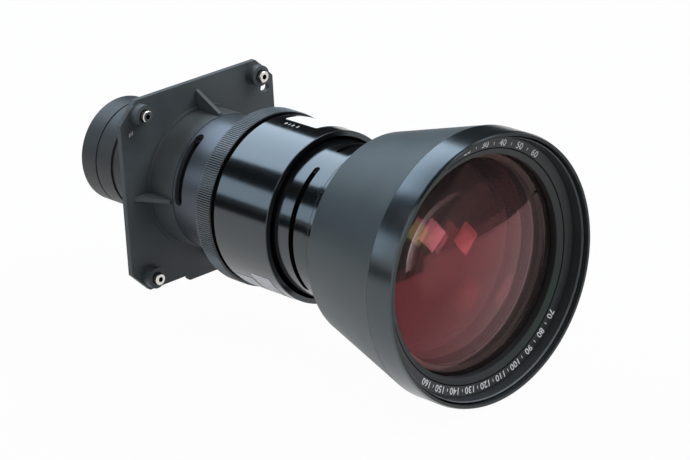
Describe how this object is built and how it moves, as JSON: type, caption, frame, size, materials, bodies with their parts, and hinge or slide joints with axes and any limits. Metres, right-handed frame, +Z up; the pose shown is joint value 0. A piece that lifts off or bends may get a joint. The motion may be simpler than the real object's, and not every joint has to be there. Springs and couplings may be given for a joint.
{
  "type": "projection lens",
  "caption": "Projection lens with a square mounting plate, captive screws, a knurled focus ring, a slotted front tube and a wide conical bell with coated glass.",
  "frame": {"origin": "on the optical axis, in the seat face at the back of the mounting plate, which is the centre of the four screws", "axes": "+Y along the optical axis out of the rear barrel (the large front glass faces -Y), +Z up, towards the plate edge opposite the tab, +X to the right seen from the front"},
  "size_m": [0.1574, 0.32, 0.1574],
  "materials": {
    "plate_anodised": "bead-blasted, matte charcoal anodising",
    "sleeve_anodised": "satin purple-grey anodising",
    "gloss_black": "polished black anodising",
    "matte_black": "matte black anodising",
    "inner_black": "flat black lining",
    "bell_coated": "matte grey coating",
    "name_grey": "matte grey coating",
    "screw_steel": "bright nickel-plated steel",
    "dark_steel": "blackened steel",
    "key_brass": "machined brass",
    "inner_glass": "polished optical glass",
    "coated_glass": "polished optical glass with a red coating",
    "label_paper": "bare white paper"
  },
  "bodies": {
    "mount": {"mounting_plate": "plate_anodised", "fixed_sleeve": "sleeve_anodised", "rear_barrel": "matte_black", "flange_screws": "dark_steel", "rear_end_ring": "matte_black", "rear_glass": "inner_glass", "barrel_glass_1": "inner_glass", "barrel_spacer_1": "inner_black", "barrel_glass_2": "inner_glass", "barrel_spacer_2": "inner_black", "barrel_glass_3": "inner_glass", "aperture_stop": "inner_black", "barrel_spacer_3": "inner_black", "barrel_glass_4": "inner_glass", "barrel_lock_ring": "inner_black"},
    "focus": {"knurled_ring": "matte_black", "focus_sleeve": "gloss_black", "drive_tube": "matte_black", "drive_screws": "dark_steel", "stop_roller": "dark_steel", "long_label": "label_paper", "short_label_rear": "label_paper", "short_label_front": "label_paper"},
    "front_group": {"front_tube": "gloss_black", "guide_keys": "key_brass", "tube_glass": "inner_glass", "tube_lock_ring": "inner_black"},
    "bell": {"bell_housing": "bell_coated", "bell_set_screws": "dark_steel", "front_cell": "inner_black", "cell_screws": "dark_steel", "slot_pins": "dark_steel", "third_glass": "inner_glass", "third_lock_ring": "inner_black", "second_glass": "inner_glass", "second_lock_ring": "inner_black", "front_glass": "coated_glass", "front_retaining_ring": "matte_black", "name_ring": "name_grey", "trim_ring": "gloss_black"},
    "captive_screw_top_left": {"captive_screw_top_left": "screw_steel"},
    "captive_screw_top_right": {"captive_screw_top_right": "screw_steel"},
    "captive_screw_bottom_left": {"captive_screw_bottom_left": "screw_steel"},
    "captive_screw_bottom_right": {"captive_screw_bottom_right": "screw_steel"}
  },
  "joints": [
    {"name": "focus_turn", "type": "hinge", "parent": "mount", "child": "focus", "pos_m": [0, -0.08, 0], "axis": [0, -1, 0], "range_deg": [0, 55]},
    {"name": "front_extend", "type": "slide", "parent": "mount", "child": "front_group", "axis": [0, -1, 0], "range_m": [0, 0.006]},
    {"name": "bell_turn", "type": "hinge", "parent": "front_group", "child": "bell", "pos_m": [0, -0.15, 0], "axis": [0, -1, 0], "range_deg": [0, 95]},
    {"name": "screw_top_left_loosen", "type": "slide", "parent": "mount", "child": "captive_screw_top_left", "axis": [0, -1, 0], "range_m": [0, 0.005]},
    {"name": "screw_top_right_loosen", "type": "slide", "parent": "mount", "child": "captive_screw_top_right", "axis": [0, -1, 0], "range_m": [0, 0.005]},
    {"name": "screw_bottom_left_loosen", "type": "slide", "parent": "mount", "child": "captive_screw_bottom_left", "axis": [0, -1, 0], "range_m": [0, 0.005]},
    {"name": "screw_bottom_right_loosen", "type": "slide", "parent": "mount", "child": "captive_screw_bottom_right", "axis": [0, -1, 0], "range_m": [0, 0.005]}
  ],
  "couplings": [
    {"joint": "front_extend", "follows": "focus_turn", "m_per_rad": 0.00625}
  ]
}
